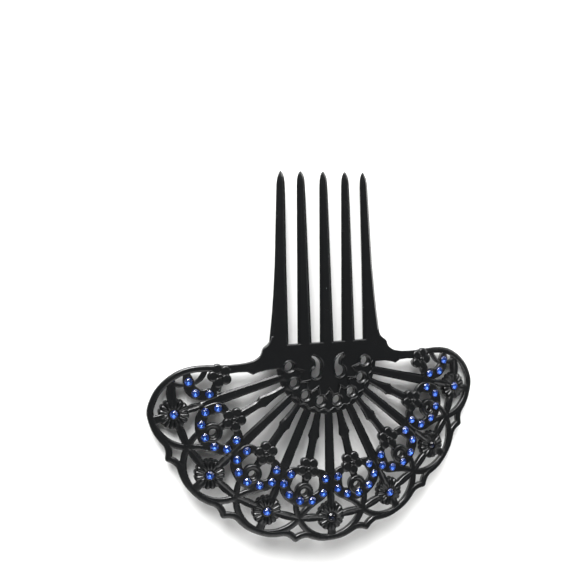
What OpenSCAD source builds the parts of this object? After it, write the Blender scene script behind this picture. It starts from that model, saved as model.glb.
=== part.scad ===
// Peineta hair comb: a moulded fan of ribs, scrolls and flowers on five teeth, with cut stones in seats.
// The plan is drawn flat about the fan's focus, cut from a shallow dome, and laid on a table.

/* [Overall] */
// Radius of the dome that the comb is bent to, side to side
dome_r = 400; // [300:10:900]
// Thickness of the plain plate
plate_t = 2.4; // [2:0.1:2.8]
// Thickness of the teeth and the heel
body_t = 3.2; // [3:0.1:3.6]
// How far the teeth dip towards the table when the comb lies balanced on its sides, in degrees
dip = 1.6; // [0.5:0.1:3]
// Height of the raised work above the plate
relief_h = 0.7; // [0.5:0.05:1]

/* [Fan] */
// Angle between one rib and the next, in degrees
rib_step = 12.5; // [12.4:0.05:12.6]
// Distance from the focus to the outside of the rim at a rim flower
rim_r = 74.3; // [73.9:0.1:74.7]
// Width of the rim band
rim_w = 2.7; // [2.3:0.1:3]
// Radius where the ribs leave the hub
hub_r = 21.8; // [21.2:0.1:22.2]
// Half width of a straight rib at its outer end
rib_half = 2; // [1.8:0.05:2.2]
// Half width of a notched rib at its two points
notch_half = 2.35; // [2:0.05:2.6]

/* [Flowers] */
// Distance from the focus to the rim flowers
rim_flower_r = 64.4; // [64.2:0.1:64.7]
// Radius of a rim flower
rim_flower_size = 6; // [5.7:0.1:6.2]
// Number of petals of a rim flower
rim_petals = 16; // [12:1:18]
// Distance from the focus to the small flowers
small_flower_r = 44.4; // [44.2:0.1:44.7]
// Radius of a small flower
small_flower_size = 4.9; // [4.6:0.1:5.1]

/* [Scrolls] */
// Half width of the band that carries the stones
scroll_half = 2.15; // [2.05:0.05:2.3]
// Distance from the focus to the eye of a scroll
eye_r = 53.9; // [53.7:0.1:54.1]
// Outer radius of the ring round that eye
ring_size = 3.9; // [3.7:0.05:4.1]
// Radius of the eye's hole
eye_hole = 1.5; // [1.3:0.05:1.6]
// Distance from the focus to the points where the arcs cross below the rim
cross_r = 64.8; // [64.5:0.1:65]
// Half width of those arcs
arc_half = 1.2; // [1:0.05:1.4]

/* [Stones] */
// Diameter of a stone
stone_d = 3.1; // [2.8:0.05:3.3]
// Height of a stone's crown above its girdle
crown_h = 0.6; // [0.4:0.05:0.8]
// Depth of a stone below its girdle
pavilion_h = 0.85; // [0.6:0.05:0.95]
// Gap between a stone and its seat
seat_gap = 0.12; // [0.1:0.01:0.2]

/* [Teeth] */
// Distance from the focus to the tooth tips
tip_y = 76.7; // [60:0.5:90]
// Distance between the middle tooth and the next
tooth_pitch = 9.6; // [9.3:0.1:9.8]
// Half width of a tooth at its root
root_half = 3.1; // [2.9:0.05:3.3]
// Half width of a tooth near its tip
tip_half = 1.8; // [1.6:0.05:2]
// Distance from the focus to the bottom of the gaps between teeth
gap_y = 7.7; // [7:0.1:8.5]

/* [Hidden] */
plastic = "#1b1c1e";
sapphire = "#2a4fc4";
dark_stone = "#1c2233";
stone_r = stone_d / 2;
stone_sides = 8;
girdle_h = 0.2;
girdle_z = relief_h - 0.2;
seat_r = stone_r + seat_gap;
seat_floor = girdle_z - pavilion_h - seat_gap;
// height of the round cutter of a seat
seat_h = 3;
step_in = 0.4;
back_in = 0.35;
tall = 40;
// where the thick heel ends towards the hub
heel_y = 3.7;
// rows added between two rows of a table: two for the plate, none for the raised work
$steps = 2;
ray_depth = 2;
dome_steps = 12;
strip_w = 2.2 * rim_r / dome_steps;

// rim outline between two flowers: share of a rib step, distance beyond rim_r
scallop = [[0, 0], [0.28, -0.2], [0.52, -1.05], [0.7, -1.8], [0.85, -1.25], [1, 0.1]];
// rim outline past the last flower: degrees past it, distance beyond rim_r
shoulder = [[0, 0], [3, -0.3], [5.8, -1.9], [9.2, -4.8], [12.4, -9], [15.2, -14.3], [16.6, -19.8],
    [16.9, -24.8], [16.8, -29.8]];
// a notched rib up to its two points, and beyond them: along, off, half width
notched_rib = [[19, 0, 1.15], [25, 0, 1.3], [28.5, 0, 1.75]];
notched_rib_end = [[32.3, 0, 1.75], [34, 0, 1.5], [37, 0, 1.55], [42, 0, 1.75]];
notch_r = 31.2;
last_flower_off = -0.9;
// stone band of one unit: along its axis, off it, half width as a share
scroll = [[45.4, 4.4, 0.6], [46.2, 6.4, 0.85], [47.8, 7.6, 1], [50.3, 8.3, 1], [52.9, 8.4, 1], [55, 7, 1],
    [56.5, 4.7, 1], [57.5, 2.3, 1], [57.8, 0, 1]];
// arm from the crossing into the scroll, and lip from there along the band: along, off, half width as a share
arm = [[64.8, 0, 1], [61.9, 1.6, 0.95], [59.4, 2.5, 0.85], [57, 2.7, 0.75], [54.8, 3, 0.75]];
lip = [[64.8, 0, 1], [61.9, -1.7, 0.95], [60, -3.3, 0.85], [58.3, -5.3, 0.7], [56.6, -7.4, 0.5]];
// neck between a small flower and the ring: along, off, half width
neck = [[46.5, 0, 1.6], [51, 0, 1.3]];
// leaf from a rim flower to the crossing beside it: share of the way, half width
leaf = [[0.28, 1], [0.5, 1.6], [0.75, 1.55], [1, 0.9]];
// leaf from a rim flower to the end of a straight rib, and stem from it to the rim: along, off, half width
inner_leaf = [[44, 0, 1.9], [51, 0, 1.5], [54, 0, 1.3], [57, 0, 1.7], [60.5, 0, 1.2]];
stem = [[68, 0, 1.4], [72.5, 0, 1.7]];
// the corner past the last flower, in the axes of rib 7: along, off, half width
corner_scroll = [[46.2, -7.9, 1.3], [48.9, -7.6, 2.15], [51.7, -7.8, 2.15], [54.3, -6.7, 2.15],
    [56.2, -4.5, 2.1], [56.6, -1.9, 2], [56.9, 0.3, 1.5], [57.1, 1.8, 0.9]];
crescent = [[49.5, 2.6, 0.9], [50.7, 0.3, 1], [52.3, -1.6, 0.9], [54.6, -3, 0.6]];
corner_leaf = [[58.1, -3, 0.5], [60.4, -2.9, 0.9], [63.1, -1.5, 0.6]];
corner_neck = [[44.6, -1.5, 1.7], [46.6, -6.5, 1.9]];
corner_strut = [[62.8, -12.3, 1.2], [63.3, -7.3, 1.85], [63.2, -4.3, 1.8], [62.5, -0.5, 1.2]];
// stones of an even unit, an uneven one, the one on the far right, and a corner: along the axis, off it
even_stones = [[47.4, 7.4], [52.3, 8.6], [56, 5.1], [57.3, 0], [56, -5.1], [52.3, -8.6], [47.4, -7.4]];
uneven_stones = [[47.1, -7], [51.1, -9.3], [55.3, -6.3], [57.4, -1.2], [56.9, 4], [53.5, 8.2], [47.6, 8.1]];
sparse_stones = [[48.6, 8.1], [54.1, 7.2], [57, 2.3], [56.7, -3.3], [53.1, -7.6], [47.6, -7.6]];
corner_stones = [[48.9, -7.5], [54.2, -6.6], [56.5, -1.9]];
// heel outline from the outer tooth to the arm, and the arm's notched underside: across, along
heel = [[22.6, 20], [23.2, 13], [24.3, 9], [27, 6.7], [28, 4.3], [30.6, 2.4], [34.6, 1.5], [40, 1.2],
    [44.5, 1.2]];
arm_under = [[44, -2.5], [41, -2.4], [37, -2.1], [33.6, -2.2], [31.3, -3.4], [29.5, -2.7], [26, -2],
    [20, -1.8]];
// outer tooth: share of the way from root to tip, inner and outer edge off twice the pitch
outer_tooth = [[0, -2.9, 5.3], [0.18, -2.85, 3.75], [0.46, -2.8, 2.1], [0.92, -3, 0.6], [0.96, -2.8, 0.15],
    [0.988, -2.2, -0.6], [1, -1.5, -1.15]];
// middle teeth: share of the way from root to tip, half width as a share of tip_half
tooth_tip = [[0.92, 1], [0.96, 0.75], [0.988, 0.38], [1, 0.1]];
// holes in the hub: a row of round ones, and two commas given as across, along, half width
hub_hole_r = 16.6;
hub_hole_step = 12.3;
hub_hole = 1.85;
comma = [[5.2, -4.6, 2.2], [4.4, -2.5, 1.35], [4.7, -0.6, 1.1], [5.6, 0.8, 0.65], [6.9, 1.8, 0.3]];
// zigzag ridge on the hub: radius between two holes and beside a hole
ridge_low = 10.9;
ridge_high = 13.9;
ridge_half = 0.35;
// ridge that follows the ends of the ribs
contour_r = hub_r - 1.6;

// a point at distance r from the focus, a degrees off the fan's axis
function fan(r, a) = [r * sin(a), -r * cos(a)];
// a point s along the axis of rib k and t to its side
function on_rib(k, s, t) = let(a = k * rib_step) [s * sin(a) + t * cos(a), -s * cos(a) + t * sin(a)];
// the row on the smooth curve between b and c, with a and d beyond them
function curve_at(a, b, c, d, u) = 0.5 * (2 * b + (c - a) * u + (2 * a - 5 * b + 4 * c - d) * u * u
    + (3 * b - a - 3 * c + d) * u * u * u);
// the rows of a table with smooth rows added between them
function smooth(p, n = $steps) = let(m = len(p) - 1)
    concat([for (i = [0 : m - 1], j = [0 : n - 1])
        curve_at(p[max(i - 1, 0)], p[i], p[i + 1], p[min(i + 2, m)], j / n)], [p[m]]);
// direction of a line of points at its point i
function heading(p, i) = let(a = p[max(i - 1, 0)], b = p[min(i + 1, len(p) - 1)],
    d = [b[0] - a[0], b[1] - a[1]]) d / norm(d);
// the points of a line moved to its left by the distances in d
function beside(p, d) = [for (i = [0 : len(p) - 1]) let(h = heading(p, i))
    [p[i][0] - h[1] * d[i], p[i][1] + h[0] * d[i]]];
function reversed(p) = [for (i = [len(p) - 1 : -1 : 0]) p[i]];
// outline of a strip with rows of across, along, half width
function strip(p) = concat(beside(p, [for (q = p) q[2]]), reversed(beside(p, [for (q = p) -q[2]])));
// rows of along, off, half width in the axes of rib k turned into plan rows; side -1 mirrors them
function plan_rows(k, rows, side = 1, share = 1) =
    [for (q = rows) let(p = on_rib(k, q[0], side * q[1])) [p[0], p[1], q[2] * share]];
// a table that ends on its axis, carried on as its own mirror image
function both_sides(rows) = concat(rows,
    [for (i = [len(rows) - 2 : -1 : 0]) [rows[i][0], -rows[i][1], rows[i][2]]]);
// centre of the small flower on rib k; the last one leans towards the arm
function small_flower_at(k) = on_rib(k, small_flower_r, abs(k) == 7 ? last_flower_off * sign(k) : 0);
// height of the round dome at a distance x from its ridge
function arc_z(x) = sqrt(dome_r * dome_r - x * x) - dome_r;
// the same for the dome in flat strips
function dome_z(x) = let(i = floor(x / strip_w), u = x / strip_w - i)
    arc_z(i * strip_w) * (1 - u) + arc_z((i + 1) * strip_w) * u;

rim_rows = concat([[-0.3 * rib_step, -0.15]],
    [for (k = [0 : 2 : 4]) each concat([for (q = scallop) [(k + q[0]) * rib_step, q[1]]],
        [for (i = [4 : -1 : 1]) [(k + 2 - scallop[i][0]) * rib_step, scallop[i][1]]])],
    [for (q = shoulder) [6 * rib_step + q[0], q[1]]]);
function rim_line() = smooth([for (q = rim_rows) fan(rim_r + q[1], q[0])]);
notched_rows = concat(notched_rib, [[notch_r, 0, notch_half]], notched_rib_end);

// circle that carries the arcs of one flower: sagitta, half chord, radius and centre on the rib's axis
arc_drop = rim_r - rim_w / 2 - cross_r * cos(rib_step);
arc_chord = cross_r * sin(rib_step);
arc_r = (arc_drop * arc_drop + arc_chord * arc_chord) / (2 * arc_drop);
arc_centre = rim_r - rim_w / 2 - arc_r;
arc_turn = asin(arc_chord / arc_r);

// every flower and unit on the right half, mirrored to the left
module both_halves() {
    children();
    mirror([1, 0]) children();
}

module rib_strip(k, rows, side = 1, share = 1) {
    polygon(strip(smooth(plan_rows(k, rows, side, share))));
}

module rim_band() {
    line = rim_line();
    both_halves() polygon(concat(line, reversed(beside(line, [for (q = line) rim_w]))));
}

// arc below the rim, from the side of a flower given by the signs from and to
module rim_arc(k, from, to) {
    polygon(strip([for (i = [from * 6 : to * 6]) let(a = arc_turn * i / 6,
        p = on_rib(k, arc_centre + arc_r * cos(a), arc_r * sin(a))) [p[0], p[1], arc_half]]));
}

// petals meet at a depth of notch from the outline
module rim_flower(k, notch) {
    translate(fan(rim_flower_r, k * rib_step)) polygon([for (i = [0 : 2 * rim_petals - 1])
        (rim_flower_size - notch * (i % 2)) * [sin(180 * i / rim_petals), cos(180 * i / rim_petals)]]);
}

module small_flower(k) {
    translate(small_flower_at(k)) rotate(k * rib_step) {
        circle(r = small_flower_size * 0.6, $fn = 12);
        for (i = [0 : 4]) {
            rotate(72 * i - 90) translate([small_flower_size * 0.56, 0])
                circle(r = small_flower_size * 0.44, $fn = 10);
        }
    }
}

// leaves from the rim flower k to the crossing on the side given
module side_leaf(k, side) {
    a = fan(rim_flower_r, k * rib_step);
    b = fan(cross_r, (k + side) * rib_step);
    polygon(strip(smooth([for (q = leaf) let(p = a + (b - a) * q[0]) [p[0], p[1], q[1]]])));
}

module ring(k) {
    translate(fan(eye_r, k * rib_step)) circle(r = ring_size, $fn = 20);
}

module unit(k) {
    rib_strip(k, both_sides(scroll), 1, scroll_half);
    ring(k);
    rib_strip(k, arm, 1, arc_half);
    rib_strip(k, lip, 1, arc_half);
    rib_strip(k, neck);
}

module corner() {
    rib_strip(7, corner_scroll);
    rib_strip(7, crescent);
    rib_strip(7, corner_leaf);
    rib_strip(7, corner_strut);
    rib_strip(7, corner_neck);
}

module straight_ribs() {
    for (k = [0 : 2 : 6]) {
        polygon(strip(plan_rows(k, [[19, 0, rib_half * 0.75], [45.8, 0, rib_half]])));
    }
}

// flowers, scrolls, ribs and rim of the right half
module fan_half(notch) {
    straight_ribs();
    for (k = [1 : 2 : 5]) {
        polygon(strip(plan_rows(k, notched_rows)));
        unit(k);
    }
    for (k = [1 : 2 : 7]) {
        small_flower(k);
    }
    for (k = [0 : 2 : 6]) {
        rim_flower(k, notch);
        rib_strip(k, inner_leaf);
        rib_strip(k, stem);
    }
    for (k = [0 : 2 : 4]) {
        rim_arc(k, k == 0 ? 0 : -1, 1);
        side_leaf(k, 1);
        side_leaf(k + 2, -1);
    }
    rim_arc(6, -1, 0);
    corner();
}

module fan_plan(notch = 0.5) {
    difference() {
        union() {
            rim_band();
            both_halves() fan_half(notch);
        }
        both_halves() {
            for (k = [1 : 2 : 5]) {
                translate(fan(eye_r, k * rib_step)) circle(r = eye_hole, $fn = 14);
            }
        }
    }
}

function tooth_y(u) = gap_y + u * (tip_y - gap_y);

module teeth() {
    for (i = [-1 : 1]) {
        polygon(strip(concat([[i * tooth_pitch, gap_y - 3, root_half]],
            [for (q = tooth_tip) [i * tooth_pitch, tooth_y(q[0]), q[1] * tip_half]])));
    }
    both_halves() polygon(concat([for (q = outer_tooth) [2 * tooth_pitch + q[1], tooth_y(q[0])]],
        [for (q = reversed(outer_tooth)) [2 * tooth_pitch + q[2], tooth_y(q[0])]]));
}

module hub() {
    difference() {
        both_halves() {
            intersection() {
                circle(r = hub_r, $fn = 60);
                translate([-0.5, -hub_r - 1]) square([hub_r + 2, hub_r + 1]);
            }
            polygon(concat([[-0.5, -6], [-0.5, 20]], smooth(heel), arm_under, [[19, -6]]));
        }
        translate([-2 * tooth_pitch + 2.6, gap_y]) square([4 * tooth_pitch - 5.2, tall]);
    }
}

module hub_holes() {
    both_halves() {
        for (k = [1 : 2 : 7]) {
            translate(fan(hub_hole_r, k * hub_hole_step)) circle(r = hub_hole, $fn = 16);
        }
        polygon(strip(smooth(comma)));
        translate([comma[0][0], comma[0][1]]) circle(r = comma[0][2], $fn = 18);
    }
}

// outline of the whole comb
module plan() {
    difference() {
        union() {
            fan_plan();
            hub();
            teeth();
        }
        hub_holes();
    }
}

// the stouter teeth and heel, drawn in at their back
module body_plan() {
    offset(delta = -back_in) {
        teeth();
        intersection() {
            hub();
            translate([-rim_r, heel_y]) square([2 * rim_r, tall]);
        }
    }
}

// raised lines on the hub
module hub_ridges() {
    turns = [for (k = [-7 : 7]) each abs(k) % 2 == 0 ? [fan(ridge_low, k * hub_hole_step)]
        : [for (d = [-0.3, 0.3]) fan(ridge_high, (k + d) * hub_hole_step)]];
    polygon(strip([for (p = turns) [p[0], p[1], ridge_half]]));
    polygon(strip([for (k = [-14 : 14]) let(p = fan(contour_r, k * rib_step / 2)) [p[0], p[1], ridge_half]]));
    both_halves() difference() {
        polygon(strip(smooth([for (q = comma) [q[0], q[1], q[2] + 0.8]])));
        polygon(strip(smooth([for (q = comma) [q[0], q[1], q[2] + 0.3]])));
        translate([comma[0][0], comma[0][1]]) circle(r = comma[0][2] + 0.3, $fn = 18);
    }
}

module relief_plan() {
    difference() {
        offset(delta = -step_in) fan_plan(ray_depth, $steps = 1);
        circle(r = hub_r + 0.7, $fn = 60);
    }
    hub_ridges();
}

// stones as rows of rib, along, off
rim_places = [for (k = [-6 : 2 : 6]) [k, rim_flower_r, 0]];
scroll_places = concat([for (k = [-5, -3, 1], q = even_stones) [k, q[0], q[1]]],
    [for (k = [-1, 3], q = uneven_stones) [k, q[0], q[1]]],
    [for (q = sparse_stones) [5, q[0], q[1]]],
    [for (s = [-1, 1], q = corner_stones) [7 * s, q[0], q[1] * s]]);

// tilt of the dome's strip at x
function strip_tilt(x) = let(i = floor(x / strip_w))
    atan((arc_z(i * strip_w) - arc_z((i + 1) * strip_w)) / strip_w);
// the comb's own axes set on the dome at a stone's place
module at_place(row) {
    p = on_rib(row[0], row[1], row[2]);
    translate([p[0], p[1], dome_z(p[0])]) rotate([0, strip_tilt(p[0]), 0]) children();
}

module seats() {
    for (row = concat(rim_places, scroll_places)) {
        at_place(row) translate([0, 0, seat_floor]) cylinder(h = seat_h, r = seat_r, $fn = 24);
    }
}

// space between the dome raised by top and the dome sunk by depth
module dome_layer(top, depth) {
    xs = [for (i = [-dome_steps / 2 : dome_steps / 2]) i * strip_w];
    rotate([90, 0, 0]) linear_extrude(4 * rim_r, center = true)
        polygon(concat([for (x = xs) [x, dome_z(x) + top]], [for (x = reversed(xs)) [x, dome_z(x) - depth]]));
}

// the comb laid on the table: it rests on both sides of the rim, where the dome is lowest
lay_y = (rim_r - tip_y) / 2 * cos(dip) + plate_t / 2 * sin(dip);
lay_z = -min([for (q = rim_line()) (dome_z(q[0]) - plate_t) * cos(dip) - q[1] * sin(dip)]);
module laid() {
    translate([0, lay_y, lay_z]) rotate([-dip, 0, 0]) children();
}

module comb() {
    color(plastic) laid() difference() {
        union() {
            intersection() {
                dome_layer(0, plate_t);
                translate([0, 0, -tall / 2]) linear_extrude(tall) offset(delta = 0.01) plan();
            }
            intersection() {
                dome_layer(-plate_t / 2, body_t);
                translate([0, 0, -tall / 2]) linear_extrude(tall) body_plan();
            }
            intersection() {
                dome_layer(relief_h, plate_t / 2);
                translate([0, 0, -tall / 2]) linear_extrude(tall) offset(delta = 0.01) relief_plan();
            }
        }
        seats();
    }
}

// one round cut stone: table, crown, girdle and pavilion with a small flat
module stone() {
    n = stone_sides;
    rings = [[stone_r * 0.3, -pavilion_h, 0], [stone_r, 0, 0.5], [stone_r, girdle_h, 0.5],
        [stone_r * 0.58, girdle_h + crown_h, 0]];
    points = [for (q = rings, i = [0 : n - 1]) let(a = 360 * (i + q[2]) / n)
        [q[0] * cos(a), q[0] * sin(a), q[1]]];
    function ring_point(j, i) = j * n + (i + n) % n;
    faces = concat([[for (i = [0 : n - 1]) ring_point(0, i)]],
        [[for (i = [n - 1 : -1 : 0]) ring_point(3, i)]],
        [for (i = [0 : n - 1]) [ring_point(0, i + 1), ring_point(0, i), ring_point(1, i)]],
        [for (i = [0 : n - 1]) [ring_point(0, i + 1), ring_point(1, i), ring_point(1, i + 1)]],
        [for (i = [0 : n - 1])
            [ring_point(1, i + 1), ring_point(1, i), ring_point(2, i), ring_point(2, i + 1)]],
        [for (i = [0 : n - 1]) [ring_point(2, i), ring_point(3, i), ring_point(3, i + 1)]],
        [for (i = [0 : n - 1]) [ring_point(2, i), ring_point(3, i + 1), ring_point(2, i + 1)]]);
    translate([0, 0, girdle_z]) polyhedron(points, faces);
}

module rim_stone(i) {
    color(i == 4 || i == 6 ? dark_stone : sapphire) laid() at_place(rim_places[i - 1]) stone();
}

module scroll_stones() {
    color(sapphire) laid() {
        for (row = scroll_places) {
            at_place(row) stone();
        }
    }
}

comb();
rim_stone(1);  // rim_stone_1
rim_stone(2);  // rim_stone_2
rim_stone(3);  // rim_stone_3
rim_stone(4);  // rim_stone_4
rim_stone(5);  // rim_stone_5
rim_stone(6);  // rim_stone_6
rim_stone(7);  // rim_stone_7
scroll_stones();
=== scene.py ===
import math

import bmesh
import bpy
from mathutils import Matrix, Vector


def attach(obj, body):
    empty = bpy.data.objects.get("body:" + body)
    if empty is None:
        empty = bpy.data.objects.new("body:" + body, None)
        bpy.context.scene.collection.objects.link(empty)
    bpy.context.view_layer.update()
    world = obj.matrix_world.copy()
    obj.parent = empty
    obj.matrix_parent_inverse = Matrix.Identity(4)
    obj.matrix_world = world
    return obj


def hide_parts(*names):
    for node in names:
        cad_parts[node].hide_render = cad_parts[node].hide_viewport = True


# Peineta comb in black moulded plastic, set with blue foiled stones, lying on a pale floor
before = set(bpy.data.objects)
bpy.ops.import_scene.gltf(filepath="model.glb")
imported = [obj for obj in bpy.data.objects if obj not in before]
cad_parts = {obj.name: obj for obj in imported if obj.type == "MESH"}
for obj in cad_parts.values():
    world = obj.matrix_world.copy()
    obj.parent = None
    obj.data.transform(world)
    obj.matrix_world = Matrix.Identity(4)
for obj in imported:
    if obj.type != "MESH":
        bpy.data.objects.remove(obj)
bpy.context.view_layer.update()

MM = 0.001

# Sizes in millimetres, as in the part's source: the comb drawn flat about the focus of its fan
DOME_R = 400
PLATE_T = 2.4
BODY_T = 3.2
HEEL_Y = 3.7
HUB_TOP = 0.3
DIP = 1.6
RIB_STEP = 12.5
RIM_R = 74.3
RIM_W = 2.7
HUB_R = 21.8
RIB_HALF = 2.0
NOTCH_HALF = 2.35
NOTCH_R = 31.2
RIM_FLOWER_R = 64.4
RIM_FLOWER_SIZE = 6.0
RIM_PETALS = 16
SMALL_FLOWER_R = 44.4
SMALL_FLOWER_SIZE = 4.9
PETAL_SHARE = 0.43
PETAL_REACH = 0.57
LAST_FLOWER_OFF = -0.9
SCROLL_HALF = 2.15
EYE_R = 53.9
RING_SIZE = 3.9
EYE_HOLE = 1.5
CROSS_R = 64.8
ARC_HALF = 1.2
STONE_R = 1.61
CROWN_H = 0.6
PAVILION_H = 0.85
GIRDLE_H = 0.2
GIRDLE_Z = 0.5
SEAT_GAP = 0.06
TIP_Y = 76.7
TOOTH_PITCH = 9.6
ROOT_HALF = 3.1
TIP_HALF = 1.8
GAP_Y = 7.7
HUB_HOLE_R = 16.6
HUB_HOLE_STEP = 12.3
HUB_HOLE = 1.85
HEEL_HALF = 17.2
# How far a side leans in below its widest line, as a share of the height: it is out of sight from above
SIDE_LEAN = 0.36
# Foot of a form that stands on the plate, top of a cutter and bottom of a cutter that goes right through
IN_PLATE = -1
CLEAR_ABOVE = 3
CLEAR_BELOW = -6

# Sides of the turned forms, and steps along the other curves
RING_SIDES = 40
LIP_SIDES = 36
SEAT_SIDES = 32
PETAL_SIDES = 28
CORE_SIDES = 20
BUTTON_SIDES = 16
RIDGE_STEPS = 6
ARC_STEPS = 10

# Cut of a stone: radii as shares of STONE_R, heights as shares of its crown and its pavilion
TABLE_SHARE = 0.56
KITE_SHARE = 0.8
KITE_RISE = 0.55
PAVILION_SHARE = 0.62
PAVILION_SINK = 0.5
CULET_SHARE = 0.12
# Turn in radians from one stone to the next, so that their facets don't line up
STONE_TURN = 0.7

# Mesh work, in millimetres and degrees: strips cut before bending, points that count as one, points that
# lie on a cut, and edges that stay sharp
STRIP = 4.0
SAME_POINT = 0.0005
ON_CUT = 0.0001
SHARP_ANGLE = 38

# Rim outline between two flowers: share of a rib step, distance beyond RIM_R
SCALLOP = [(0, 0), (0.28, -0.2), (0.52, -1.05), (0.7, -1.8), (0.85, -1.25), (1, 0.1)]
# Rim outline past the last flower: degrees past it, distance beyond RIM_R
SHOULDER = [(0, 0), (3, -0.3), (5.8, -1.9), (9.2, -4.8), (12.4, -9), (15.2, -14.3), (16.6, -19.8),
            (16.9, -24.8), (16.8, -29.8)]
# Strips in the axes of a rib: along, off, half width
NOTCHED_RIB = [(19, 0, 1.15), (25, 0, 1.3), (28.5, 0, 1.75), (NOTCH_R, 0, NOTCH_HALF), (32.3, 0, 1.75),
               (34, 0, 1.5), (37, 0, 1.55), (42, 0, 1.75)]
STRAIGHT_RIB = [(19, 0, RIB_HALF * 0.75), (47.5, 0, RIB_HALF)]
SCROLL = [(45.4, 4.4, 0.6), (46.2, 6.4, 0.85), (47.8, 7.6, 1), (50.3, 8.3, 1), (52.9, 8.4, 1), (55, 7, 1),
          (56.5, 4.7, 1), (57.5, 2.3, 1), (57.8, 0, 1)]
ARM = [(64.8, 0, 1), (61.9, 1.6, 0.95), (59.4, 2.5, 0.85), (57, 2.7, 0.75), (54.8, 3, 0.75)]
LIP = [(64.8, 0, 1), (61.9, -1.7, 0.95), (60, -3.3, 0.85), (58.3, -5.3, 0.7), (56.6, -7.4, 0.5)]
NECK = [(46.5, 0, 1.6), (51, 0, 1.3)]
RIB_END = [(46.5, 0, 1.9), (51, 0, 1.5), (54.5, 0, 1.2)]
INNER_LEAF = [(53, 0, 0.9), (55, 0, 1.35), (57, 0, 1.7), (60.5, 0, 1.2)]
STEM = [(68, 0, 1.4), (72.5, 0, 1.7)]
CORNER_SCROLL = [(46.2, -7.9, 1.3), (48.9, -7.6, 2.15), (51.7, -7.8, 2.15), (54.3, -6.7, 2.15),
                 (56.2, -4.5, 2.1), (56.6, -1.9, 2), (56.9, 0.3, 1.5), (57.1, 1.8, 0.9)]
CRESCENT = [(49.5, 2.6, 0.9), (50.7, 0.3, 1), (52.3, -1.6, 0.9), (54.6, -3, 0.6)]
CORNER_LEAF = [(58.1, -3, 0.5), (60.4, -2.9, 0.9), (63.1, -1.5, 0.6)]
CORNER_NECK = [(44.6, -1.5, 1.7), (46.6, -6.5, 1.9)]
CORNER_STRUT = [(62.8, -12.3, 1.2), (63.3, -7.3, 1.85), (63.2, -4.3, 1.8), (62.5, -0.5, 1.2)]
# Leaf from a rim flower to the crossing beside it: share of the way, half width
LEAF = [(0.28, 1), (0.5, 1.6), (0.75, 1.55), (1, 0.9)]
# Stones in the axes of a rib: along, off
EVEN_STONES = [(47.4, 7.4), (52.3, 8.6), (56, 5.1), (57.3, 0), (56, -5.1), (52.3, -8.6), (47.4, -7.4)]
UNEVEN_STONES = [(47.1, -7), (51.1, -9.3), (55.3, -6.3), (57.4, -1.2), (56.9, 4), (53.5, 8.2), (47.6, 8.1)]
SPARSE_STONES = [(48.6, 8.1), (54.1, 7.2), (57, 2.3), (56.7, -3.3), (53.1, -7.6), (47.6, -7.6)]
CORNER_STONES = [(48.9, -7.5), (54.2, -6.6), (56.5, -1.9)]
# Rim stones whose foil has gone dark, counted from the left
DARK_RIM_STONES = (4, 6)
# Heel outline from the outer tooth to the arm, and the arm's underside: across, along
HEEL = [(22.6, 20), (23.2, 13), (24.3, 9), (27, 6.7), (28, 4.3), (30.6, 2.4), (34.6, 1.5), (40, 1.2),
        (44.5, 1.2)]
ARM_UNDER = [(44, -2.5), (41, -2.4), (37, -2.1), (33.6, -2.2), (31.3, -3.4), (29.5, -2.7), (26, -2),
             (20, -1.8)]
# Teeth: share of the way from root to tip, then half width as a share, or both edges of the outer tooth
TOOTH = [(-0.05, ROOT_HALF / TIP_HALF), (0.92, 1), (0.942, 0.95), (0.962, 0.85), (0.974, 0.73),
         (0.985, 0.56), (0.991, 0.43), (0.997, 0.25), (1, 0.06)]
OUTER_TOOTH = [(-0.06, -2.9, 5.7), (0, -2.9, 5.3), (0.09, -2.87, 4.5), (0.18, -2.85, 3.75),
               (0.3, -2.82, 2.95), (0.46, -2.8, 2.1), (0.92, -3, 0.6), (0.942, -2.93, 0.4),
               (0.962, -2.78, 0.1), (0.974, -2.58, -0.2), (0.985, -2.3, -0.5), (0.991, -2.05, -0.7),
               (0.997, -1.75, -0.95), (1, -1.45, -1.2)]
# Zigzag ridges of the hub: how far their low and high points lie from the focus, half width, height
ZIGZAGS = [(10.7, 14, 0.36, 0.82), (12.1, 14.6, 0.3, 0.78)]
# Comma hole: across, along, half width
COMMA = [(5.2, -4.6, 2.3), (4.2, -2.5, 1.55), (4.3, -0.5, 1.3), (5.3, 1.2, 0.8), (7.1, 2.3, 0.3)]

# Colours of plastic, dust, glass, foil and floor
BLACK = "#0b0c0d"
DUST = "#5d6462"
CLEAR_BLUE = "#d6deff"
FOIL_BLUE = "#406dc0"
SMOKY = "#8c93a8"
FOIL_DULL = "#1b2235"
PAPER = "#f1f1f0"

# The camera as fitted to the photograph, in the comb's own axes and millimetres
CAMERA_TURN = (0.044184, 0.315615, 0.038379)
CAMERA_SHIFT = Vector((17.5388, -30.8608, -244.3421))
FOCAL_PX = 600.25
PHOTO_PX = 570
SENSOR_MM = 36
NEAR_CLIP = 0.01
FAR_CLIP = 20

# Soft lights: name, place in metres, size in metres, power in watts
LIGHTS = [
    ("far_window", (-0.35, 1.05, 0.6), 0.6, 18),
    ("high_window", (-0.5, 0.95, 0.85), 0.6, 15),
    ("far_panel", (0.2, 1.1, 0.6), 1.2, 22),
    ("near_panel", (0.0, -1.2, 0.8), 1.6, 13),
    ("right_panel", (1.25, 0.2, 0.45), 0.8, 4),
]
ROOM_LIGHT = 0.12
FLOOR_HALF = 3


def fan(r, angle):
    """Point at distance r from the focus, angle degrees off the fan's axis."""
    a = math.radians(angle)
    return r * math.sin(a), -r * math.cos(a)


def on_rib(k, along, off):
    """Point along the axis of rib k and off to its side."""
    a = math.radians(k * RIB_STEP)
    return (along * math.sin(a) + off * math.cos(a), -along * math.cos(a) + off * math.sin(a))


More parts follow.
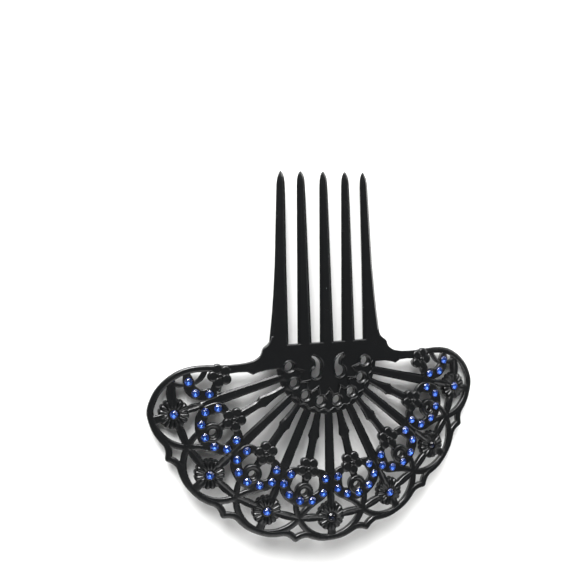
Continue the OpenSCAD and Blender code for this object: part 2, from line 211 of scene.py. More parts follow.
def smooth(rows, steps=4):
    """Catmull-Rom curve through the rows, with steps - 1 rows added between each two."""
    last = len(rows) - 1
    out = []
    for i in range(last):
        a, b, c, d = (rows[j] for j in (max(i - 1, 0), i, i + 1, min(i + 2, last)))
        for j in range(steps):
            u = j / steps
            out.append(tuple(
                0.5 * (2 * q + (r - p) * u + (2 * p - 5 * q + 4 * r - s) * u ** 2
                       + (3 * q - p - 3 * r + s) * u ** 3)
                for p, q, r, s in zip(a, b, c, d)))
    return out + [tuple(rows[last])]


def plan_rows(k, rows, side=1, share=1):
    """Rows of along, off, half width in the axes of rib k, turned into rows of x, y, half width."""
    return [(*on_rib(k, row[0], side * row[1]), row[2] * share) for row in rows]


def dome_z(x):
    """Height of the dome, from side to side."""
    return math.sqrt(DOME_R ** 2 - x ** 2) - DOME_R


def rim_line():
    """Outer edge of the rim from the fan's axis to the right-hand end."""
    rows = []
    for k in (0, 2, 4):
        rows += [((k + share) * RIB_STEP, out) for share, out in SCALLOP]
        rows += [((k + 2 - share) * RIB_STEP, out) for share, out in reversed(SCALLOP[1:5])]
    rows += [(6 * RIB_STEP + turn, out) for turn, out in SHOULDER]
    return smooth([fan(RIM_R + out, angle) for angle, out in rows])


# The comb laid on the table: its own axes to the part's, as in the part's source
DIP_ANGLE = math.radians(DIP)
LAY_Y = (RIM_R - TIP_Y) / 2 * math.cos(DIP_ANGLE) + PLATE_T / 2 * math.sin(DIP_ANGLE)
LAY_Z = -min((dome_z(x) - PLATE_T) * math.cos(DIP_ANGLE) - y * math.sin(DIP_ANGLE) for x, y in rim_line())
LAID = (Matrix.Translation((0, LAY_Y * MM, LAY_Z * MM)) @ Matrix.Rotation(-DIP_ANGLE, 4, "X")
        @ Matrix.Scale(MM, 4))


# Closed forms that the moulding is fused from
class Shell:
    """One closed form of the moulding, in millimetres."""

    def __init__(self, points, faces):
        self.points = points
        self.faces = faces

    def mirrored(self):
        return Shell([(-x, y, z) for x, y, z in self.points], self.faces)

    def box(self):
        xs, ys, _ = zip(*self.points)
        return min(xs), max(xs), min(ys), max(ys)


# Sections across the bands: rows of side, inset from the edge, height. A side of 1 is the band's edge and 0
# its middle line; GROOVE marks a groove's edge, whose inset is minus its distance from the middle line.
GROOVE = 0.001
# Least half width left inside the bevels, and most of it that a groove takes, as shares of the half width
LEAST_SHARE = 0.12
GROOVE_SHARE = 0.45


def both_edges(half_section):
    """A section given from one edge to its middle, carried on to the other edge."""
    other = [(-side, inset, z) for side, inset, z in reversed(half_section) if side != 0]
    return half_section + other


def rounded_section(top, round_h, round_w, swell, crown=0.0):
    """Band with rounded shoulders and a slightly crowned top, drawn in towards its back."""
    widest = top - round_h
    half = [(1, SIDE_LEAN * (widest + PLATE_T) - swell, -PLATE_T), (1, -swell, widest)]
    for turn in (30, 60, 90):
        a = math.radians(turn)
        half.append((1, round_w * (1 - math.cos(a)) - swell, top - round_h * (1 - math.sin(a))))
    return both_edges(half + [(0, 0, top + crown)])


def bevelled_section(top, bevel_w, bevel_h, swell, bottom=-PLATE_T):
    """Band with a flat top between two plain bevels, drawn in towards its back."""
    widest = top - bevel_h
    half = [(1, SIDE_LEAN * (widest - bottom) - swell, bottom), (1, 0.04 - swell, widest - 0.12),
            (1, 0.04 - swell, widest), (1, bevel_w - swell, top - 0.03), (1, bevel_w - swell + 0.12, top)]
    return both_edges(half)


def grooved_section(top, groove_w, groove_h, round_w):
    """Band with soft edges and a groove down its middle, as on the leaves."""
    widest = top - 0.8
    half = [(1, SIDE_LEAN * (widest + PLATE_T), -PLATE_T), (1, 0, widest), (1, 0.35 * round_w, top - 0.25),
            (1, round_w, top)]
    return both_edges(half + [(GROOVE, -groove_w, top), (0, 0, top - groove_h)])


def sweep(rows, section):
    """Closed band along rows of x, y, half width and, if given, a share of its height."""
    centres = [Vector(row[:2]) for row in rows]
    last = len(rows) - 1
    points = []
    for i, row in enumerate(rows):
        ahead = (centres[min(i + 1, last)] - centres[max(i - 1, 0)]).normalized()
        left = Vector((-ahead.y, ahead.x))
        share = row[3] if len(row) > 3 else 1
        middle = section[0][2] / 2
        for side, inset, z in section:
            reach = side * max(row[2] - inset, LEAST_SHARE * row[2])
            if abs(side) == GROOVE:
                reach = math.copysign(min(-inset, GROOVE_SHARE * row[2]), side)
            x, y = centres[i] + left * reach
            points.append((x, y, middle + (z - middle) * share))
    n = len(section)
    faces = [(i * n + j, i * n + (j + 1) % n, (i + 1) * n + (j + 1) % n, (i + 1) * n + j)
             for i in range(last) for j in range(n)]
    faces += [tuple(range(n)), tuple(range(last * n + n - 1, last * n - 1, -1))]
    return Shell(points, faces)


def turned(centre, profile, sides, ring=False):
    """Form turned about an upright axis from rows of radius, height; a ring joins its ends."""
    points, loops = [], []
    for radius, z in profile:
        if radius == 0:
            loops.append([len(points)])
            points.append((*centre, z))
            continue
        loops.append(list(range(len(points), len(points) + sides)))
        for i in range(sides):
            a = 2 * math.pi * i / sides
            points.append((centre[0] + radius * math.cos(a), centre[1] + radius * math.sin(a), z))
    if ring:
        loops.append(loops[0])
    faces = []
    for low, high in zip(loops, loops[1:]):
        for i in range(sides):
            below = [low[i % len(low)], low[(i + 1) % len(low)]]
            above = [high[(i + 1) % len(high)], high[i % len(high)]]
            faces.append(tuple(dict.fromkeys(below + above)))
    return Shell(points, faces)


def drawn_in(outline, distance):
    """The outline moved inwards by a distance."""
    n = len(outline)
    area = sum(outline[i - 1][0] * outline[i][1] - outline[i][0] * outline[i - 1][1] for i in range(n))
    inward = distance if area > 0 else -distance
    out = []
    for i, point in enumerate(outline):
        ahead = (Vector(outline[(i + 1) % n]) - Vector(outline[i - 1])).normalized()
        out.append(tuple(Vector(point) + Vector((-ahead.y, ahead.x)) * inward))
    return out


def prism(outline, low, high, bevel, side_h):
    """Form on an outline: a bevelled top edge, an upright side of side_h, then drawn in towards its back."""
    rows = [(SIDE_LEAN * (high - side_h - low), low), (0, high - side_h), (0, high - bevel),
            (0.12 * bevel, high - 0.5 * bevel), (0.45 * bevel, high - 0.13 * bevel), (bevel, high)]
    n = len(outline)
    points = [(x, y, z) for inset, z in rows for x, y in drawn_in(outline, inset)]
    faces = [(row * n + i, row * n + (i + 1) % n, (row + 1) * n + (i + 1) % n, (row + 1) * n + i)
             for row in range(len(rows) - 1) for i in range(n)]
    faces += [tuple(range(n)), tuple(range((len(rows) - 1) * n, len(rows) * n))]
    return Shell(points, faces)


def ridge_section(foot, height, half):
    """Fine ridge with a fully rounded top, for rows of one half width."""
    arc = [(1, half * (1 - math.cos(math.radians(a))), foot + (height - foot) * math.sin(math.radians(a)))
           for a in (0, 25, 50, 72)]
    return both_edges([(1, 0, IN_PLATE)] + arc + [(0, 0, height)])


LOW_BAND = bevelled_section(top=0.35, bevel_w=0.55, bevel_h=0.52, swell=0.1)
BAND = rounded_section(top=0.55, round_h=0.5, round_w=0.5, swell=0.15)
RIM = rounded_section(top=0.7, round_h=0.8, round_w=0.8, swell=0)
TUBE = rounded_section(top=0.55, round_h=0.62, round_w=0.62, swell=0.15, crown=0.04)
RIB = bevelled_section(top=0.1, bevel_w=0.7, bevel_h=0.68, swell=0.2)
GROOVED_LEAF = grooved_section(top=0.55, groove_w=0.35, groove_h=0.22, round_w=0.4)
TOOTH_SECTION = bevelled_section(top=HUB_TOP, bevel_w=1.25, bevel_h=1.2, swell=0, bottom=-BODY_T)


# Pieces of the moulding, drawn flat
def rim_flower(k):
    """Large flower: ridged petals round a flat middle, drawn on a polar net."""
    cx, cy = fan(RIM_FLOWER_R, k * RIB_STEP)
    turns = RIM_PETALS * RIDGE_STEPS
    middle_rows = [(1.2, 0.35), (2.2, 0.35)]
    petal_rows = [2.8, 3.7, 4.6]
    # Distance in from the petals' edge, height, and how much a petal's ridge adds to it
    edge_rows = [(0.5, 0.05, 0.45), (0.15, -0.1, 0), (0, -0.7, 0), (0, -PLATE_T, 0)]
    points = [(cx, cy, 0.3)]
    spokes = []
    for i in range(turns):
        a = 2 * math.pi * i / turns
        ridge = abs(math.sin(RIM_PETALS * a / 2)) ** 0.5
        edge = RIM_FLOWER_SIZE - 0.5 * (1 - ridge)
        rows = middle_rows + [(r, 0.15 + 0.5 * ridge) for r in petal_rows]
        rows += [(edge - inset, z + rise * ridge) for inset, z, rise in edge_rows]
        spokes.append([(cx + r * math.cos(a), cy + r * math.sin(a), z) for r, z in rows])
    for ring in zip(*spokes):
        points += ring
    points.append((cx, cy, -PLATE_T))
    rings = len(spokes[0])
    faces = [(0, 1 + i, 1 + (i + 1) % turns) for i in range(turns)]
    for row in range(rings - 1):
        for i in range(turns):
            a, b = 1 + row * turns + i, 1 + row * turns + (i + 1) % turns
            faces.append((a, a + turns, b + turns, b))
    foot = 1 + (rings - 1) * turns
    faces += [(foot + i, len(points) - 1, foot + (i + 1) % turns) for i in range(turns)]
    return Shell(points, faces)


def small_flower(k):
    """Small flower: five low, rounded petals round a button."""
    off = LAST_FLOWER_OFF * (1 if k > 0 else -1) if abs(k) == 7 else 0
    cx, cy = on_rib(k, SMALL_FLOWER_R, off)
    size = SMALL_FLOWER_SIZE * PETAL_SHARE
    petal = [(0, -PLATE_T), (size - 0.5, -PLATE_T), (size, -0.8), (size, 0.15), (size - 0.06, 0.38),
             (size - 0.22, 0.58), (size - 0.45, 0.72), (size - 0.8, 0.8), (size - 1.1, 0.8), (0, 0.74)]
    core = [(0, -PLATE_T), (2.4, -PLATE_T), (2.4, 0.2), (0, 0.2)]
    button = [(0, -PLATE_T), (1.05, -PLATE_T), (1.05, 0.75), (0.98, 0.98), (0.78, 1.14), (0.45, 1.22),
              (0, 1.24)]
    reach = SMALL_FLOWER_SIZE * PETAL_REACH
    shells = []
    for i in range(5):
        a = math.radians(k * RIB_STEP - 90 + 72 * i)
        shells.append(turned((cx + reach * math.cos(a), cy + reach * math.sin(a)), petal, PETAL_SIDES))
    shells.append(turned((cx, cy), core, CORE_SIDES))
    shells.append(turned((cx, cy), button, BUTTON_SIDES))
    return shells


def eye_ring(k):
    """Stepped ring round a scroll's eye."""
    profile = [(1.1, -PLATE_T), (RING_SIZE - 0.5, -PLATE_T), (RING_SIZE, -0.8), (RING_SIZE, 0.25),
               (RING_SIZE - 0.1, 0.58), (RING_SIZE - 0.35, 0.76), (RING_SIZE - 0.65, 0.82), (2.65, 0.82),
               (2.45, 0.72), (2.35, 0.55), (2.15, 0.5), (1.95, 0.55), (1.1, 0.55)]
    return turned(fan(EYE_R, k * RIB_STEP), profile, RING_SIDES, ring=True)


def side_leaf(k, side):
    """Leaf from rim flower k to the crossing on one side."""
    a = Vector(fan(RIM_FLOWER_R, k * RIB_STEP))
    b = Vector(fan(CROSS_R, (k + side) * RIB_STEP))
    return sweep(smooth([(*(a + (b - a) * share), half) for share, half in LEAF]), GROOVED_LEAF)


def rim_arc(k, start, stop):
    """Arc below the rim over rim flower k, from one crossing (-1) to the next (1)."""
    drop = RIM_R - RIM_W / 2 - CROSS_R * math.cos(math.radians(RIB_STEP))
    chord = CROSS_R * math.sin(math.radians(RIB_STEP))
    radius = (drop ** 2 + chord ** 2) / (2 * drop)
    centre = RIM_R - RIM_W / 2 - radius
    turn = math.asin(chord / radius)
    rows = []
    for i in range(start * ARC_STEPS, stop * ARC_STEPS + 1):
        a = turn * i / ARC_STEPS
        rows.append((*on_rib(k, centre + radius * math.cos(a), radius * math.sin(a)), ARC_HALF))
    return sweep(rows, TUBE)


def straight_rib(k):
    """Straight rib with the leaf and the stem on either side of its rim flower."""
    return [
        sweep(plan_rows(k, STRAIGHT_RIB), RIB),
        sweep(smooth(plan_rows(k, RIB_END)), LOW_BAND),
        sweep(smooth(plan_rows(k, INNER_LEAF)), GROOVED_LEAF),
        sweep(smooth(plan_rows(k, STEM)), BAND),
        rim_flower(k),
    ]


def scroll_unit(k):
    """Horseshoe band for the stones, the arm and the lip beside it, and the ring-shaped eye on its neck."""
    band = SCROLL + [(along, -off, half) for along, off, half in reversed(SCROLL[:-1])]
    return [
        sweep(smooth(plan_rows(k, band, share=SCROLL_HALF)), BAND),
        sweep(smooth(plan_rows(k, ARM, share=ARC_HALF)), TUBE),
        sweep(smooth(plan_rows(k, LIP, share=ARC_HALF)), TUBE),
        sweep(plan_rows(k, NECK), RIB),
        eye_ring(k),
    ]


def corner():
    """Half unit between the last small flower and the last rim flower."""
    return [
        sweep(smooth(plan_rows(7, CORNER_SCROLL)), BAND),
        sweep(smooth(plan_rows(7, CRESCENT)), TUBE),
        sweep(smooth(plan_rows(7, CORNER_LEAF)), BAND),
        sweep(smooth(plan_rows(7, CORNER_STRUT)), GROOVED_LEAF),
        sweep(smooth(plan_rows(7, CORNER_NECK)), BAND),
    ]


def rim():
    """Scalloped band from one end of the fan to the other."""
    right = rim_line()
    line = [(-x, y) for x, y in reversed(right[1:])] + right
    rows = []
    for i, point in enumerate(line):
        ahead = (Vector(line[min(i + 1, len(line) - 1)]) - Vector(line[max(i - 1, 0)])).normalized()
        inward = Vector((-ahead.y, ahead.x)) * RIM_W / 2
        rows.append((*(Vector(point) + inward), RIM_W / 2))
    return sweep(rows, RIM)


def tooth_y(share):
    """Place along a tooth, from the gaps' foot (0) to the tips (1)."""
    return GAP_Y + share * (TIP_Y - GAP_Y)


def tooth_height(half):
    """Share of the full thickness left where a tooth narrows to its point."""
    return min(1, 0.3 + half * 0.9)


def teeth():
    """Three straight teeth and the two outer ones, which widen towards the heel."""
    shells = []
    for i in (-1, 0, 1):
        rows = []
        for share, half in TOOTH:
            rows.append((i * TOOTH_PITCH, tooth_y(share), half * TIP_HALF, tooth_height(half)))
        shells.append(sweep(rows, TOOTH_SECTION))
    rows = []
    for share, inner, outer in OUTER_TOOTH:
        middle = 2 * TOOTH_PITCH + (inner + outer) / 2
        half = (outer - inner) / 2
        rows.append((middle, tooth_y(share), half, tooth_height(half / TIP_HALF)))
    outer_tooth = sweep(rows, TOOTH_SECTION)
    return shells + [outer_tooth, outer_tooth.mirrored()]


def heel():
    """Solid plate between the teeth and the hub, with the arms on both sides."""
    edge = [row for row in smooth(HEEL, 3) if row[1] < 12.5]
    right = [(0, GAP_Y), (HEEL_HALF, GAP_Y), (HEEL_HALF + 0.4, 12)] + edge + ARM_UNDER + [(16, -6), (0, -6)]
    outline = right + [(-x, y) for x, y in reversed(right[1:-1])]
    thick = [(HEEL_HALF, GAP_Y)] + [(x - 0.3, y) for x, y in edge if HEEL_Y < y < 9.5] + [(27.5, HEEL_Y)]
    thick_outline = thick + [(-x, y) for x, y in reversed(thick)]
    plate = prism(outline, -PLATE_T, HUB_TOP, bevel=0.5, side_h=0.9)
    return [plate, prism(thick_outline, -BODY_T, -0.5, bevel=0.1, side_h=1.5)]


def wavy(angle, radius):
    """Radius that swells at each rib."""
    return radius + 0.5 * math.cos(math.radians(angle / RIB_STEP * 360))


def hub():
    """Two steps of the disc that carries the ribs, and the wavy ridge along the upper one."""
    lower_edge = [fan(HUB_R, -a) for a in range(93, -94, -3)]
    upper_edge = [fan(wavy(a, HUB_R - 1.2), -a) for a in range(93, -94, -2)]
    line = [(*fan(wavy(a, HUB_R - 2), a), 0.3) for a in range(-86, 87, 2)]
    return [
        prism(lower_edge, -PLATE_T, 0.02, bevel=0.25, side_h=0.6),
        prism(upper_edge, IN_PLATE, HUB_TOP, bevel=0.28, side_h=1.2),
        sweep(line, ridge_section(HUB_TOP - 0.05, 0.68, 0.3)),
    ]


def zigzag(low, high, half, height):
    """Ridge that runs between the holes of the hub and dips beside each."""
    rows = []
    for k in range(-7, 8):
        if k % 2 == 0:
            rows.append((*fan(low, k * HUB_HOLE_STEP), half))
        else:
            rows += [(*fan(high, (k + turn) * HUB_HOLE_STEP), half) for turn in (-0.32, 0.32)]
    return sweep(rows, ridge_section(HUB_TOP - 0.05, height, half))


def comma_lip():
    """Raised lip round the right-hand comma hole."""
    width, top = 0.75, 0.7
    rows = smooth(COMMA)
    x, y, half = rows[0]
    raised = [(*row[:2], row[2] + width) for row in rows]
    lip = [(0, IN_PLATE), (0, 0.3), (0.03, 0.46), (0.12, 0.59), (0.24, 0.67), (0.38, top)]
    section = both_edges([(1, inset, z) for inset, z in lip] + [(0, 0, top)])
    profile = [(0, IN_PLATE)] + [(half + width - inset, z) for inset, z in lip] + [(0, top)]
    return [sweep(raised, section), turned((x, y), profile, LIP_SIDES)]


def hole_lip(k):
    """Fine ring round one of the hub's round holes."""
    rows = [(-0.3, IN_PLATE), (0.85, IN_PLATE), (0.85, 0.25), (0.8, 0.45), (0.65, 0.58), (0.48, 0.6),
            (0.32, 0.5), (-0.3, 0.2)]
    profile = [(HUB_HOLE + out, z) for out, z in rows]
    return turned(fan(HUB_HOLE_R, k * HUB_HOLE_STEP), profile, LIP_SIDES, ring=True)


# Stones, their seats and the holes
def stone_places():
    """Rows of rib, along, off for the rim stones and for the scroll stones."""
    rim_places = [(k, RIM_FLOWER_R, 0) for k in range(-6, 7, 2)]
    scroll_places = []
    for k in (-5, -3, 1):
        scroll_places += [(k, along, off) for along, off in EVEN_STONES]
    for k in (-1, 3):
        scroll_places += [(k, along, off) for along, off in UNEVEN_STONES]
    scroll_places += [(5, along, off) for along, off in SPARSE_STONES]
    for side in (-1, 1):
        scroll_places += [(7 * side, along, off * side) for along, off in CORNER_STONES]
    return rim_places, scroll_places


def seat_collar(place):
    """Raised bezel round a stone."""
    seat = STONE_R + SEAT_GAP
    profile = [(0, IN_PLATE), (seat + 0.4, IN_PLATE), (seat + 0.4, 0.5), (seat + 0.3, 0.68),
               (seat + 0.12, 0.74), (0, 0.74)]
    return turned(on_rib(*place), profile, SEAT_SIDES)


def seat_cutter(place):
    """Cutter for the round pocket that a stone is glued into."""
    seat = STONE_R + SEAT_GAP
    floor = GIRDLE_Z - PAVILION_H - SEAT_GAP
    profile = [(0, floor), (seat - 0.25, floor), (seat, floor + 0.3), (seat, CLEAR_ABOVE), (0, CLEAR_ABOVE)]
    return turned(on_rib(*place), profile, SEAT_SIDES)


def hole_cutter(centre, radius, chamfer, top):
    """Cutter for a round hole with a chamfer that ends at the height top."""
    wide = radius + chamfer
    profile = [(0, CLEAR_BELOW), (radius, CLEAR_BELOW), (radius, top - chamfer), (wide, top),
               (wide, CLEAR_ABOVE), (0, CLEAR_ABOVE)]
    return turned(centre, profile, RING_SIDES)


def with_mirror(shells):
    """The shells of the right half and the same on the left."""
    return shells + [shell.mirrored() for shell in shells]


def moulding_shells():
    """Every raised and solid form of the comb."""
    shells = [rim()] + heel() + hub() + teeth() + [zigzag(*ridge) for ridge in ZIGZAGS]
    right = comma_lip() + [hole_lip(k) for k in (1, 3, 5, 7)]
    for k in (2, 4, 6):
        right += straight_rib(k) + [side_leaf(k, -1)]
    for k in (2, 4):
        right += [side_leaf(k, 1), rim_arc(k, -1, 1)]
    right += [side_leaf(0, 1), rim_arc(6, -1, 0)]
    for k in (1, 3, 5):
        right += [sweep(plan_rows(k, NOTCHED_RIB), RIB)] + scroll_unit(k)
    for k in (1, 3, 5, 7):
        right += small_flower(k)
    right += corner()
    shells += with_mirror(right) + straight_rib(0) + [rim_arc(0, -1, 1)]
    rim_places, scroll_places = stone_places()
    shells += [seat_collar(place) for place in rim_places + scroll_places]
    return shells


def comma_cutters():
    """Cutters for the round head and the curved tail of the right-hand comma hole."""
    x, y, half = COMMA[0]
    chamfer, start, top = 0.25, 0.4, 0.7
    head = [(0, CLEAR_BELOW), (half, CLEAR_BELOW), (half, start), (half + chamfer, top),
            (half + chamfer, CLEAR_ABOVE), (0, CLEAR_ABOVE)]
    tail = both_edges([(1, 0, CLEAR_BELOW), (1, 0, start), (1, -chamfer, top), (1, -chamfer, CLEAR_ABOVE),
                       (0, 0, CLEAR_ABOVE)])
    return turned((x, y), head, RING_SIDES), sweep(smooth(COMMA), tail)


def cutting_shells():
    """Every hole and seat, in three lots of shells that don't meet each other."""
    right = []
    for k in (1, 3, 5, 7):
        right.append(hole_cutter(fan(HUB_HOLE_R, k * HUB_HOLE_STEP), HUB_HOLE, chamfer=0.3, top=0.3))
    for k in (1, 3, 5):
        right.append(hole_cutter(fan(EYE_R, k * RIB_STEP), EYE_HOLE, chamfer=0.2, top=0.55))
    rim_places, scroll_places = stone_places()
    round_cutters = with_mirror(right) + [seat_cutter(place) for place in rim_places + scroll_places]
    comma_head, comma_tail = comma_cutters()
    return [round_cutters, with_mirror([comma_head]), with_mirror([comma_tail])]


# Meshes: fusing, cutting and bending
def add_to_scene(name, data):
    """New object in the scene that holds the data."""
    obj = bpy.data.objects.new(name, data)
    bpy.context.scene.collection.objects.link(obj)
    return obj


def mesh_object(name, bm):
    """Object from a bmesh, which is used up."""
    mesh = bpy.data.meshes.new(name)
    bm.to_mesh(mesh)
    bm.free()
    return add_to_scene(name, mesh)


def join_shells(shells, name):
    """One mesh object from shells that don't meet each other."""
    bm = bmesh.new()
    for shell in shells:
        verts = [bm.verts.new(point) for point in shell.points]
        for face in shell.faces:
            bm.faces.new([verts[i] for i in face])
    bmesh.ops.triangulate(bm, faces=bm.faces[:])
    bmesh.ops.recalc_face_normals(bm, faces=bm.faces[:])
    return mesh_object(name, bm)


def sort_apart(shells):
    """Groups of shells whose boxes stay clear of each other, so that a group is one operand."""
    groups = []
    for shell in shells:
        box = shell.box()
        for group in groups:
            if all(box[0] > b[1] or box[1] < b[0] or box[2] > b[3] or box[3] < b[2] for _, b in group):
                group.append((shell, box))
                break
        else:
            groups.append([(shell, box)])
    return [[shell for shell, _ in group] for group in groups]


def combine(body, other, operation):
    """Boolean of two meshes; the second is used up."""
    modifier = body.modifiers.new(operation, "BOOLEAN")
    modifier.operation = operation
    modifier.solver = "MANIFOLD"
    modifier.object = other
    bpy.context.view_layer.update()
    mesh = bpy.data.meshes.new_from_object(body.evaluated_get(bpy.context.evaluated_depsgraph_get()))
    body.modifiers.clear()
    old = body.data
    body.data = mesh
    bpy.data.meshes.remove(old)
    bpy.data.objects.remove(other)


def fuse_comb():
    """All shells as one flat moulding, joined two groups at a time, with its holes and seats cut."""
    groups = [join_shells(group, "group") for group in sort_apart(moulding_shells())]
    while len(groups) > 1:
        pairs = list(zip(groups[::2], groups[1::2]))
        odd = groups[len(pairs) * 2:]
        for body, other in pairs:
            combine(body, other, "UNION")
        groups = [body for body, _ in pairs] + odd
    comb = groups[0]
    for cutters in cutting_shells():
        combine(comb, join_shells(cutters, "cutter"), "DIFFERENCE")
    return comb


def keep_body(bm):
    """Keeps the one large body and drops the crumbs and single faces that fusing leaves on it."""
    reached = set()
    bodies = []
    for start in bm.faces:
        if start in reached:
            continue
        reached.add(start)
        body = [start]
        for face in body:
            for edge in face.edges:
                neighbours = edge.link_faces if len(edge.link_faces) == 2 else ()
                for other in neighbours:
                    if other not in reached:
                        reached.add(other)
                        body.append(other)
        bodies.append(body)
    bodies.sort(key=len)
    for crumb in bodies[:-1]:
        bmesh.ops.delete(bm, geom=crumb, context="FACES")


def bend_and_lay(obj):
    """Cuts the flat mesh into strips across, lowers it onto the dome and lays it on the table."""
    bm = bmesh.new()
    bm.from_mesh(obj.data)
    bmesh.ops.remove_doubles(bm, verts=bm.verts[:], dist=SAME_POINT)
    bmesh.ops.triangulate(bm, faces=bm.faces[:])
    keep_body(bm)
    steps = int(RIM_R / STRIP)
    for i in range(-steps, steps + 1):
        geom = bm.verts[:] + bm.edges[:] + bm.faces[:]
        cut = ((i + 0.5) * STRIP, 0, 0)
        bmesh.ops.bisect_plane(bm, geom=geom, dist=ON_CUT, plane_co=cut, plane_no=(1, 0, 0))
    bmesh.ops.triangulate(bm, faces=bm.faces[:])
    for v in bm.verts:
        v.co.z += dome_z(v.co.x)
        v.co = LAID @ v.co
    bmesh.ops.recalc_face_normals(bm, faces=bm.faces[:])
    bm.to_mesh(obj.data)
    bm.free()


def moulded_comb():
    """The comb's piece: flat faces look flat, rounded ones smooth."""
    comb = fuse_comb()
    comb.name = comb.data.name = "moulded_comb"
    comb.data.materials.clear()
    bend_and_lay(comb)
    comb.data.shade_smooth()
    comb.data.set_sharp_from_angle(angle=math.radians(SHARP_ANGLE))
    weighted = comb.modifiers.new("flat_faces_lead", "WEIGHTED_NORMAL")
    weighted.keep_sharp = True
    weighted.weight = 100
    return comb


# Cut stones
def cut_stone(bm, place, turn):
    """Round brilliant cut: table, star, kite and girdle facets, girdle, and a pavilion in its foil."""
    x, y = on_rib(*place)
    tilt = math.asin(x / DOME_R)
    matrix = (LAID @ Matrix.Translation((x, y, dome_z(x))) @ Matrix.Rotation(tilt, 4, "Y")
              @ Matrix.Translation((0, 0, GIRDLE_Z)) @ Matrix.Rotation(turn, 4, "Z"))

    def ring(share, z, count, shift=0.0):
        radius = STONE_R * share
        steps = [(i + shift) * 2 * math.pi / count for i in range(count)]
        return [bm.verts.new(matrix @ Vector((radius * math.cos(a), radius * math.sin(a), z))) for a in steps]

    table = ring(TABLE_SHARE, GIRDLE_H + CROWN_H, 8, 0.5)
    kites = ring(KITE_SHARE, GIRDLE_H + CROWN_H * KITE_RISE, 8)
    upper = ring(1, GIRDLE_H, 16)
    lower = ring(1, 0, 16)
    pavilion = ring(PAVILION_SHARE, -PAVILION_H * PAVILION_SINK, 8)
    culet = ring(CULET_SHARE, -PAVILION_H, 8, 0.5)
    glass, foil = [table], [list(reversed(culet))]
    for i in range(8):
        j = (i + 1) % 8
        before, here, after = 2 * i - 1, 2 * i, 2 * i + 1
        glass += [[table[i - 1], kites[i], table[i]], [kites[i], upper[after], kites[j], table[i]]]
        glass += [[kites[i], upper[here], upper[after]], [kites[i], upper[before], upper[here]]]
        foil += [[pavilion[i], culet[i - 1], culet[i]], [pavilion[i], culet[i], pavilion[j], lower[after]]]
        foil += [[pavilion[i], lower[after], lower[here]], [pavilion[i], lower[here], lower[before]]]
    for i in range(16):
        j = (i + 1) % 16
        glass.append([lower[i], lower[j], upper[j], upper[i]])
    for loops, slot in ((glass, 0), (foil, 1)):
        for loop in loops:
            bm.faces.new(loop).material_index = slot


def stone_piece(name, places):
    """One piece with a cut stone at each place."""
    bm = bmesh.new()
    for i, place in enumerate(places):
        cut_stone(bm, place, STONE_TURN * i)
    bmesh.ops.recalc_face_normals(bm, faces=bm.faces[:])
    return mesh_object(name, bm)


# Materials
def linear(hex_colour):
    """sRGB hex to linear red, green, blue, alpha."""
    parts = [int(hex_colour[i:i + 2], 16) / 255 for i in (1, 3, 5)]
    return [p / 12.92 if p <= 0.04045 else ((p + 0.055) / 1.055) ** 2.4 for p in parts] + [1.0]


def add_node(tree, kind, links=(), **settings):
    """Adds a node; settings are attributes or input values, links are (input, output socket)."""
    node = tree.nodes.new(kind)
    for key, value in settings.items():
        if hasattr(node, key):
            setattr(node, key, value)
        else:
            node.inputs[key.replace("_", " ")].default_value = value
    for name, socket in links:
        tree.links.new(socket, node.inputs[name])
    return node


# Colour sockets of a Mix node: first, second, result
MIX_FIRST = 6
MIX_SECOND = 7
MIX_RESULT = 2


def new_material(name):
    """Material with its node tree and its shader."""
    material = bpy.data.materials.new(name)
    material.use_nodes = True
    tree = material.node_tree
    return material, tree, tree.nodes["Principled BSDF"]


def injection_moulded_plastic():
    """Black injection-moulded plastic: deep black with a satin gloss, faint ripple and a little dust."""
    material, tree, shader = new_material("black_injection_moulded_plastic")
    place = [("Vector", add_node(tree, "ShaderNodeTexCoord").outputs["Object"])]
    # The moulding's ripple is about 6 mm long. Its skin is finer than the 0.35 mm drawn here, and so is dust,
    # which lies one speck to about 7 mm: both are as coarse as they need to be to show.
    ripple = add_node(tree, "ShaderNodeTexNoise", place, Scale=1 / (6 * MM), Detail=2.0)
    grain = add_node(tree, "ShaderNodeTexNoise", place, Scale=1 / (0.35 * MM), Detail=1.0)
    specks = add_node(tree, "ShaderNodeTexVoronoi", place, Scale=1 / (7 * MM))
    dust = add_node(tree, "ShaderNodeMapRange", [("Value", specks.outputs["Distance"])],
                    From_Min=0.035, From_Max=0.018)
    colour = add_node(tree, "ShaderNodeMix", [("Factor", dust.outputs["Result"])], data_type="RGBA")
    colour.inputs[MIX_FIRST].default_value = linear(BLACK)
    colour.inputs[MIX_SECOND].default_value = linear(DUST)
    tree.links.new(colour.outputs[MIX_RESULT], shader.inputs["Base Color"])
    gloss = add_node(tree, "ShaderNodeMapRange", [("Value", ripple.outputs["Fac"])], To_Min=0.2, To_Max=0.3)
    tree.links.new(gloss.outputs["Result"], shader.inputs["Roughness"])
    wave = add_node(tree, "ShaderNodeBump", [("Height", ripple.outputs["Fac"])],
                    Strength=0.12, Distance=0.4 * MM)
    skin = add_node(tree, "ShaderNodeBump",
                    [("Height", grain.outputs["Fac"]), ("Normal", wave.outputs["Normal"])],
                    Strength=0.08, Distance=0.03 * MM)
    tree.links.new(skin.outputs["Normal"], shader.inputs["Normal"])
    shader.inputs["IOR"].default_value = 1.5
    return material


def cut_glass(name, tint):
    """Cut and polished glass: clear facets that take the colour of the foil below."""
    material, _, shader = new_material(name)
    shader.inputs["Base Color"].default_value = linear(tint)
    shader.inputs["Roughness"].default_value = 0.02
    shader.inputs["IOR"].default_value = 1.55
    shader.inputs["Transmission Weight"].default_value = 1.0
    return material


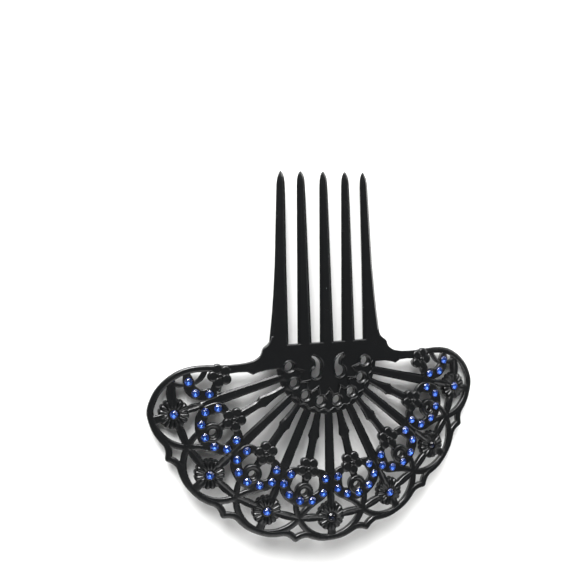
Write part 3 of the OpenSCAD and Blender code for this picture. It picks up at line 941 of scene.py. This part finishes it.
def mirror_foil(name, colour):
    """Coloured mirror foil on the pavilion: throws the light back up through the facets, a little cloudy."""
    material, tree, shader = new_material(name)
    place = add_node(tree, "ShaderNodeTexCoord").outputs["Object"]
    cloud = add_node(tree, "ShaderNodeTexNoise", [("Vector", place)], Scale=1 / (2.5 * MM))
    shade = add_node(tree, "ShaderNodeMix", [("Factor", cloud.outputs["Fac"])], data_type="RGBA")
    shade.inputs[MIX_FIRST].default_value = linear(colour)
    shade.inputs[MIX_SECOND].default_value = [c * 0.6 for c in linear(colour)[:3]] + [1.0]
    tree.links.new(shade.outputs[MIX_RESULT], shader.inputs["Base Color"])
    shader.inputs["Metallic"].default_value = 0.75
    shader.inputs["Roughness"].default_value = 0.28
    return material


def put_on(piece, slot, node, *materials):
    """Materials of a piece and its place in the frame: it rides the one body and replaces a node."""
    for material in materials:
        piece.data.materials.append(material)
    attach(piece, "root")
    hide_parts(node)


# The pieces in the frame
comb = moulded_comb()
put_on(comb, "black_plastic", "comb", injection_moulded_plastic())

blue = (cut_glass("blue_cut_glass", CLEAR_BLUE), mirror_foil("blue_mirror_foil", FOIL_BLUE))
dark = (cut_glass("smoky_cut_glass", SMOKY), mirror_foil("dulled_mirror_foil", FOIL_DULL))
rim_places, scroll_places = stone_places()
for number, place in enumerate(rim_places, 1):
    stone = stone_piece(f"cut_rim_stone_{number}", [place])
    slot, materials = ("dark_stone", dark) if number in DARK_RIM_STONES else ("blue_stone", blue)
    put_on(stone, slot, f"rim_stone_{number}", *materials)
scroll_stones = stone_piece("cut_scroll_stones", scroll_places)
put_on(scroll_stones, "blue_stone", "scroll_stones", *blue)


# Camera, floor and lights
def photo_camera():
    """Camera at the photograph's place and angle, turned with the comb onto the table."""
    about_x, about_y, about_z = CAMERA_TURN
    turn = (Matrix.Rotation(about_z, 3, "Z") @ Matrix.Rotation(about_y, 3, "Y")
            @ Matrix.Rotation(about_x, 3, "X"))
    back = turn.transposed()
    centre = -(back @ CAMERA_SHIFT)
    data = bpy.data.cameras.new("photo_camera")
    data.sensor_width = SENSOR_MM
    data.lens = FOCAL_PX / PHOTO_PX * SENSOR_MM
    data.clip_start = NEAR_CLIP
    data.clip_end = FAR_CLIP
    camera = add_to_scene("photo_camera", data)
    spin = Matrix.Rotation(-DIP_ANGLE, 3, "X") @ back
    camera.matrix_world = Matrix.Translation(LAID @ centre) @ spin.to_4x4()
    bpy.context.scene.camera = camera


def pale_floor():
    """Matt pale paper: a plain floor that takes soft shadows."""
    bm = bmesh.new()
    bmesh.ops.create_grid(bm, x_segments=1, y_segments=1, size=FLOOR_HALF)
    floor = mesh_object("floor", bm)
    material, _, shader = new_material("pale_paper")
    shader.inputs["Base Color"].default_value = linear(PAPER)
    shader.inputs["Roughness"].default_value = 0.9
    floor.data.materials.append(material)


def soft_light(name, place, size, power):
    """Round area light that looks at the middle of the table."""
    data = bpy.data.lights.new(name, "AREA")
    data.shape = "DISK"
    data.size = size
    data.energy = power
    light = add_to_scene(name, data)
    light.location = place
    light.rotation_euler = (Vector() - Vector(place)).to_track_quat("-Z", "Y").to_euler()


def studio():
    """Floor, lights and a faint even light from all round."""
    pale_floor()
    for light in LIGHTS:
        soft_light(*light)
    world = bpy.data.worlds.new("studio")
    bpy.context.scene.world = world
    world.use_nodes = True
    background = world.node_tree.nodes["Background"]
    background.inputs["Color"].default_value = (1, 1, 1, 1)
    background.inputs["Strength"].default_value = ROOM_LIGHT
    bpy.context.scene.view_settings.view_transform = "Standard"


photo_camera()
studio()
